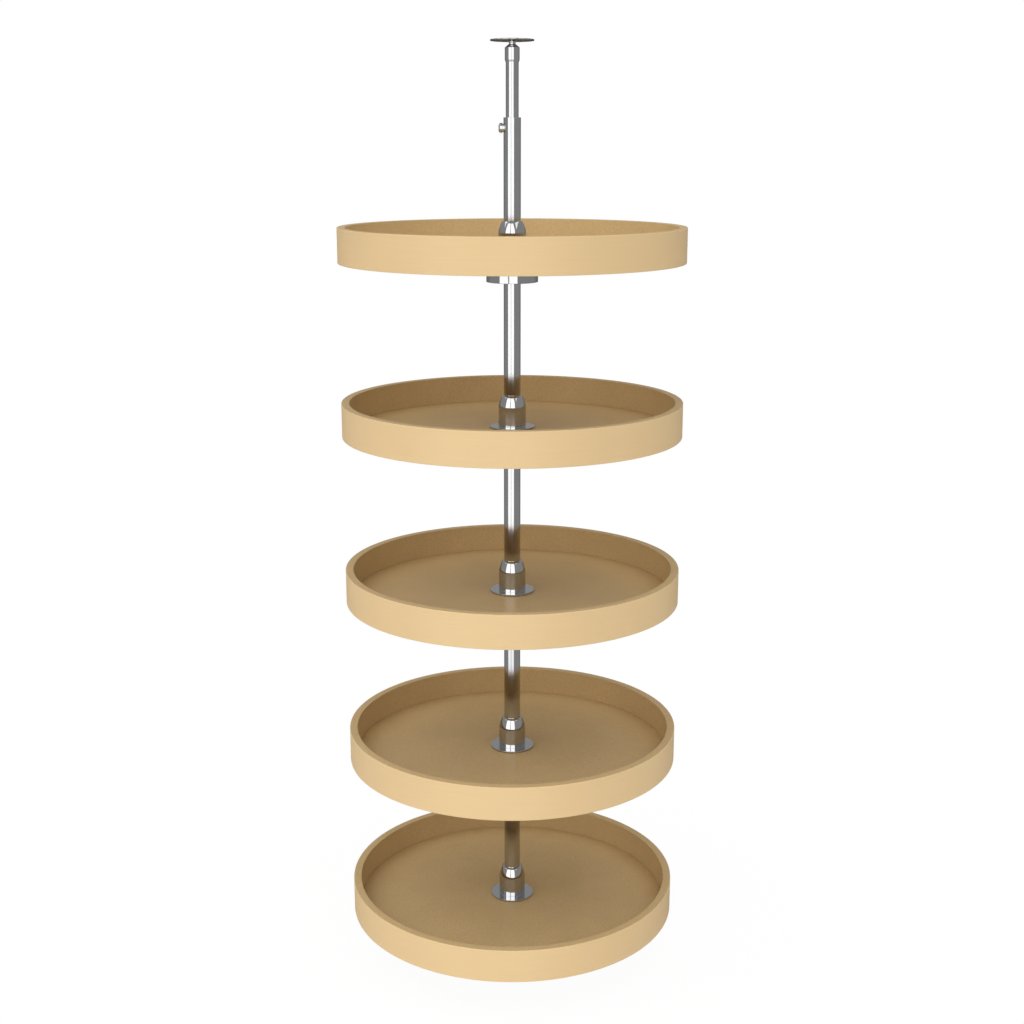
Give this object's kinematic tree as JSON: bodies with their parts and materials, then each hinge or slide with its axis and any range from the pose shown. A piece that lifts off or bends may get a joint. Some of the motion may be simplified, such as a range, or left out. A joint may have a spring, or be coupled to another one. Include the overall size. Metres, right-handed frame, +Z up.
{
  "type": "rotating pantry carousel",
  "caption": "Round rimmed wooden trays turning on ball bearings around a telescoping chrome pole that pivots between a base plate and a top plate.",
  "frame": {"origin": "centre of the base plate's underside, on the pole's axis, at the cabinet floor", "axes": "+Z up along the pole; -Y towards the front; the lock screw's head stands out along -X"},
  "size_m": [0.508, 0.508, 1.392],
  "materials": {
    "wood_rim": "smooth bent wood band, clear satin lacquer",
    "wood_floor": "fine-speckled board, clear satin lacquer",
    "chrome_tube": "polished chrome plate on steel tube",
    "chrome_hub": "polished chrome plate",
    "chrome_cap": "polished chrome plate",
    "chrome_housing": "polished chrome plate on a casting",
    "chrome_knob": "polished chrome plate",
    "chrome_end": "polished chrome plate",
    "chrome_plate": "polished chrome plate on pressed steel",
    "base_zinc": "zinc-plated pressed steel",
    "insert_zinc": "zinc-plated steel",
    "bearing_steel": "ground bearing steel",
    "screw_steel": "plain hardened steel",
    "acetal_cage": "natural acetal",
    "acetal_bush": "natural acetal",
    "brass_pad": "turned brass"
  },
  "bodies": {
    "base": {"base_plate": "base_zinc", "base_pivot": "bearing_steel", "foot_ball": "bearing_steel"},
    "pole": {"foot_bush": "acetal_bush", "pole_tube": "chrome_tube", "guide_bush": "acetal_bush", "lock_insert": "insert_zinc", "housing_set_screws": "screw_steel", "bearing_housing_1": "chrome_housing", "bearing_housing_2": "chrome_housing", "bearing_housing_3": "chrome_housing", "bearing_housing_4": "chrome_housing", "bearing_housing_5": "chrome_housing"},
    "tray_1": {"tray_floor_1": "wood_floor", "tray_rim_1": "wood_rim", "tray_hub_1": "chrome_hub", "hub_cap_1": "chrome_cap", "race_plate_1": "bearing_steel", "hub_screws_1": "screw_steel"},
    "cage_1": {"bearing_cage_1": "acetal_cage", "bearing_balls_1": "bearing_steel"},
    "tray_2": {"tray_floor_2": "wood_floor", "tray_rim_2": "wood_rim", "tray_hub_2": "chrome_hub", "hub_cap_2": "chrome_cap", "race_plate_2": "bearing_steel", "hub_screws_2": "screw_steel"},
    "cage_2": {"bearing_cage_2": "acetal_cage", "bearing_balls_2": "bearing_steel"},
    "tray_3": {"tray_floor_3": "wood_floor", "tray_rim_3": "wood_rim", "tray_hub_3": "chrome_hub", "hub_cap_3": "chrome_cap", "race_plate_3": "bearing_steel", "hub_screws_3": "screw_steel"},
    "cage_3": {"bearing_cage_3": "acetal_cage", "bearing_balls_3": "bearing_steel"},
    "tray_4": {"tray_floor_4": "wood_floor", "tray_rim_4": "wood_rim", "tray_hub_4": "chrome_hub", "hub_cap_4": "chrome_cap", "race_plate_4": "bearing_steel", "hub_screws_4": "screw_steel"},
    "cage_4": {"bearing_cage_4": "acetal_cage", "bearing_balls_4": "bearing_steel"},
    "tray_5": {"tray_floor_5": "wood_floor", "tray_rim_5": "wood_rim", "tray_hub_5": "chrome_hub", "hub_cap_5": "chrome_cap", "race_plate_5": "bearing_steel", "hub_screws_5": "screw_steel"},
    "cage_5": {"bearing_cage_5": "acetal_cage", "bearing_balls_5": "bearing_steel"},
    "extension": {"extension_tube": "chrome_tube", "glide_plug": "acetal_bush", "top_cap": "chrome_end"},
    "ceiling_plate": {"top_plate": "chrome_plate", "top_pivot": "chrome_end"},
    "pad": {"clamp_pad": "brass_pad"},
    "lock_knob": {"lock_screw": "chrome_knob"}
  },
  "joints": [
    {"name": "pole_spin", "type": "hinge", "parent": "base", "child": "pole", "pos_m": [0, 0, 0.03], "axis": [0, 0, 1], "continuous": true},
    {"name": "tray_1_spin", "type": "hinge", "parent": "pole", "child": "tray_1", "pos_m": [0, 0, 0.06], "axis": [0, 0, 1], "continuous": true},
    {"name": "cage_1_spin", "type": "hinge", "parent": "pole", "child": "cage_1", "pos_m": [0, 0, 0.0539], "axis": [0, 0, 1], "continuous": true},
    {"name": "tray_2_spin", "type": "hinge", "parent": "pole", "child": "tray_2", "pos_m": [0, 0, 0.3153], "axis": [0, 0, 1], "continuous": true},
    {"name": "cage_2_spin", "type": "hinge", "parent": "pole", "child": "cage_2", "pos_m": [0, 0, 0.3092], "axis": [0, 0, 1], "continuous": true},
    {"name": "tray_3_spin", "type": "hinge", "parent": "pole", "child": "tray_3", "pos_m": [0, 0, 0.5706], "axis": [0, 0, 1], "continuous": true},
    {"name": "cage_3_spin", "type": "hinge", "parent": "pole", "child": "cage_3", "pos_m": [0, 0, 0.5645], "axis": [0, 0, 1], "continuous": true},
    {"name": "tray_4_spin", "type": "hinge", "parent": "pole", "child": "tray_4", "pos_m": [0, 0, 0.8259], "axis": [0, 0, 1], "continuous": true},
    {"name": "cage_4_spin", "type": "hinge", "parent": "pole", "child": "cage_4", "pos_m": [0, 0, 0.8198], "axis": [0, 0, 1], "continuous": true},
    {"name": "tray_5_spin", "type": "hinge", "parent": "pole", "child": "tray_5", "pos_m": [0, 0, 1.0812], "axis": [0, 0, 1], "continuous": true},
    {"name": "cage_5_spin", "type": "hinge", "parent": "pole", "child": "cage_5", "pos_m": [0, 0, 1.0751], "axis": [0, 0, 1], "continuous": true},
    {"name": "extension_slide", "type": "slide", "parent": "pole", "child": "extension", "axis": [0, 0, 1], "range_m": [-0.0758, 0.2298]},
    {"name": "ceiling_plate_spin", "type": "hinge", "parent": "extension", "child": "ceiling_plate", "pos_m": [0, 0, 1.386], "axis": [0, 0, 1], "continuous": true},
    {"name": "pad_slide", "type": "slide", "parent": "pole", "child": "pad", "axis": [-1, 0, 0], "range_m": [0, 0.0015]},
    {"name": "lock_turn", "type": "hinge", "parent": "pad", "child": "lock_knob", "pos_m": [-0.0125, 0, 1.2708], "axis": [-1, 0, 0], "range_deg": [0, 540]}
  ],
  "couplings": [
    {"joint": "cage_1_spin", "follows": "tray_1_spin", "ratio": 0.5},
    {"joint": "cage_2_spin", "follows": "tray_2_spin", "ratio": 0.5},
    {"joint": "cage_3_spin", "follows": "tray_3_spin", "ratio": 0.5},
    {"joint": "cage_4_spin", "follows": "tray_4_spin", "ratio": 0.5},
    {"joint": "cage_5_spin", "follows": "tray_5_spin", "ratio": 0.5},
    {"joint": "ceiling_plate_spin", "follows": "pole_spin", "ratio": -1},
    {"joint": "lock_turn", "follows": "pad_slide", "rad_per_m": 6283.2}
  ]
}
